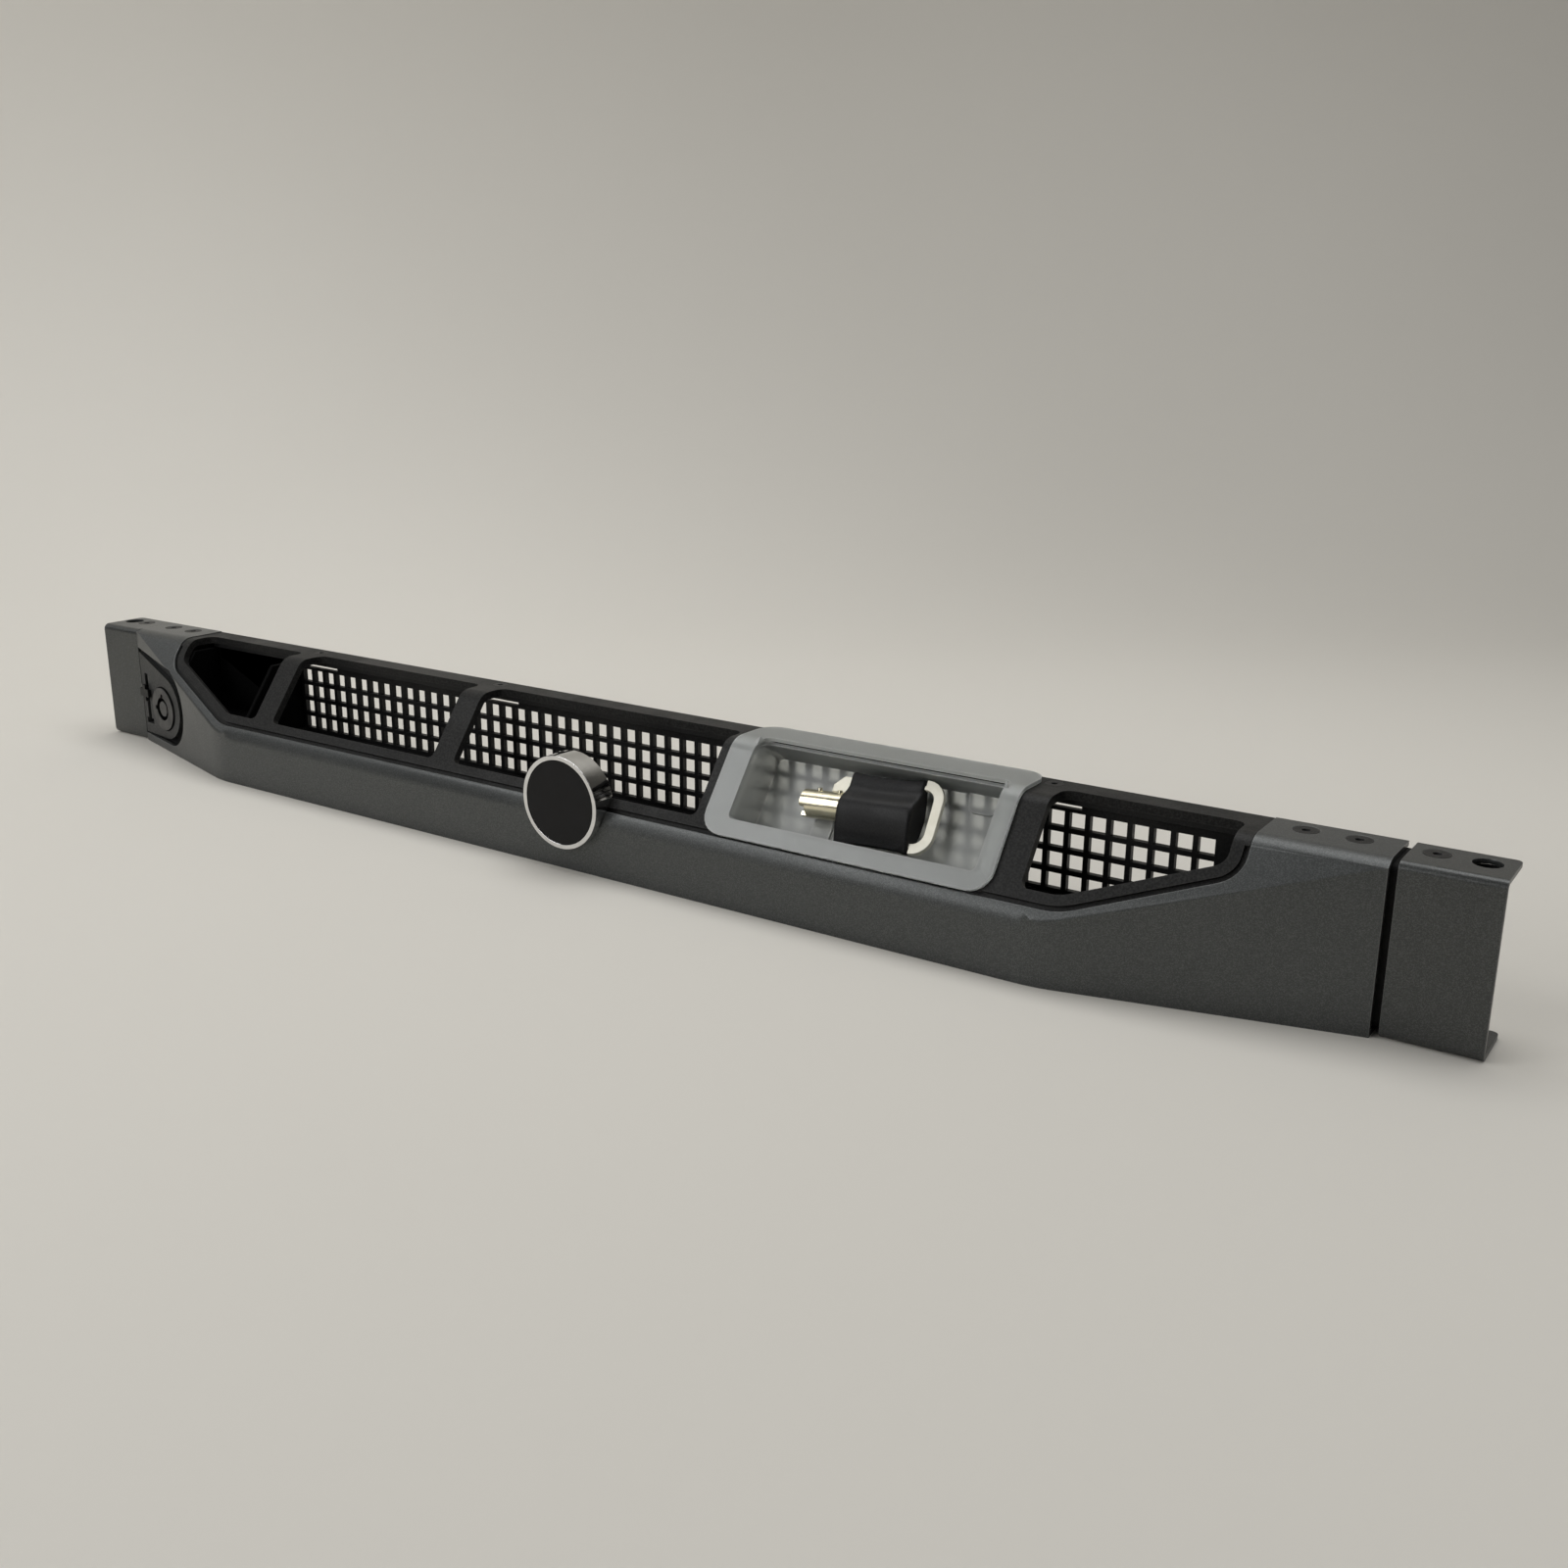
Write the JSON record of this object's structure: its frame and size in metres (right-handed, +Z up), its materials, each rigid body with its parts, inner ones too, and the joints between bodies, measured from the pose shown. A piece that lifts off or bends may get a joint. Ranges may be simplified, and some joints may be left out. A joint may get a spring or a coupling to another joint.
{
  "type": "server front bezel",
  "caption": "Lockable front bezel for a one-unit rack server: sheet shell with ears, window frame, grille, keylock, latch, badge, and a key in a clear holder.",
  "frame": {"origin": "mid-length of the bezel, in the plane of the ears' front faces, on the bottom face", "axes": "+X along the length to the right seen from the front, +Y from the front to the back, +Z up"},
  "size_m": [0.482, 0.037, 0.0429],
  "materials": {
    "shell_paint": "dark metallic paint with a fine speckle, satin",
    "ear_paint": "dark metallic paint with a fine speckle, satin",
    "frame_black": "fine textured black",
    "grille_black": "matt black",
    "baffle_black": "matt black",
    "seat_grey": "dark grey, fine texture",
    "bracket_black": "matt black",
    "lock_metal": "dark plated, brushed",
    "zinc_plate": "zinc plated",
    "latch_black": "smooth black",
    "spring_steel": "spring wire",
    "badge_chrome": "bright plated",
    "badge_black": "glossy black",
    "clip_steel": "spring steel",
    "holder_frost": "frosted, translucent",
    "key_nickel": "nickel plated, worn",
    "grip_black": "moulded black, fine grain",
    "bow_steel": "plated steel sheet",
    "screw_black": "blackened steel"
  },
  "bodies": {
    "root": {"front_shell": "shell_paint", "left_ear": "ear_paint", "right_ear": "ear_paint", "window_frame": "frame_black", "grille_panel": "grille_black", "side_baffle": "baffle_black", "lock_bracket": "seat_grey", "hook_bracket": "bracket_black", "lock_barrel": "lock_metal", "lock_nut": "zinc_plate", "latch_spring": "spring_steel", "badge_cup": "badge_chrome", "badge_face": "badge_black", "badge_clips": "clip_steel", "key_holder": "holder_frost", "key_tube": "key_nickel", "key_grip": "grip_black", "key_bow": "bow_steel", "shell_screws": "screw_black", "ear_screws": "screw_black", "frame_screws": "screw_black"},
    "lock_core": {"lock_plug": "lock_metal", "lock_cam": "zinc_plate", "cam_screw": "zinc_plate"},
    "latch": {"release_latch": "latch_black"}
  },
  "joints": [
    {"name": "lock_turn", "type": "hinge", "parent": "root", "child": "lock_core", "pos_m": [-0.20592, -0.00261, 0.0143], "axis": [0.165, 0.9863, 0], "range_deg": [-90, 0]},
    {"name": "latch_lift", "type": "slide", "parent": "root", "child": "latch", "axis": [0, 0, 1], "range_m": [0, 0.004], "stiffness_N_per_m": 150, "springref_m": -0.002, "deforming": ["latch_spring"]}
  ]
}
